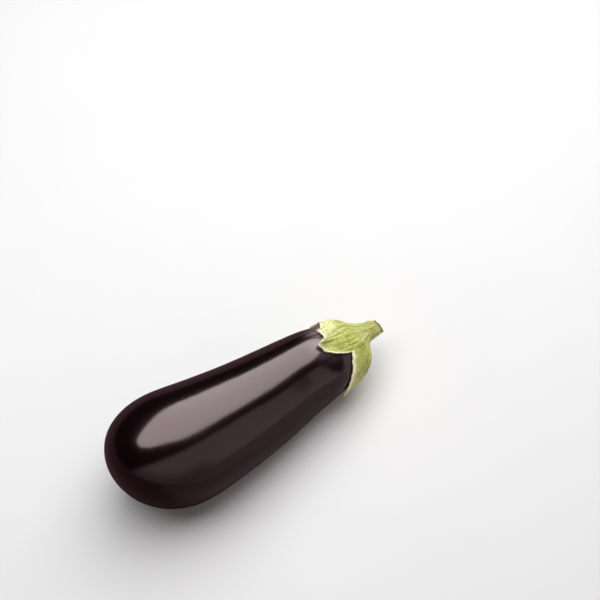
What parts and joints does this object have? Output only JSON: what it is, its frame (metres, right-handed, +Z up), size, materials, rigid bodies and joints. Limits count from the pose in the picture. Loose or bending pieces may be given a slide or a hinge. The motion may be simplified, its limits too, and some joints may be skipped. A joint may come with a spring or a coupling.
{
  "type": "eggplant",
  "caption": "Dark purple eggplant lying on its side, with a lobed green calyx and a short cut stem.",
  "frame": {"origin": "middle of the bottom of the whole box, on the surface that the eggplant lies on", "axes": "+X from the blossom end towards the stem, along the fruit; +Z up; the fruit bows out towards -Y"},
  "size_m": [0.2162, 0.0806, 0.0795],
  "materials": {
    "fruit_skin": "gloss",
    "calyx_green": "matte"
  },
  "bodies": {
    "root": {"fruit": "fruit_skin", "calyx_stem": "calyx_green"}
  },
  "joints": []
}
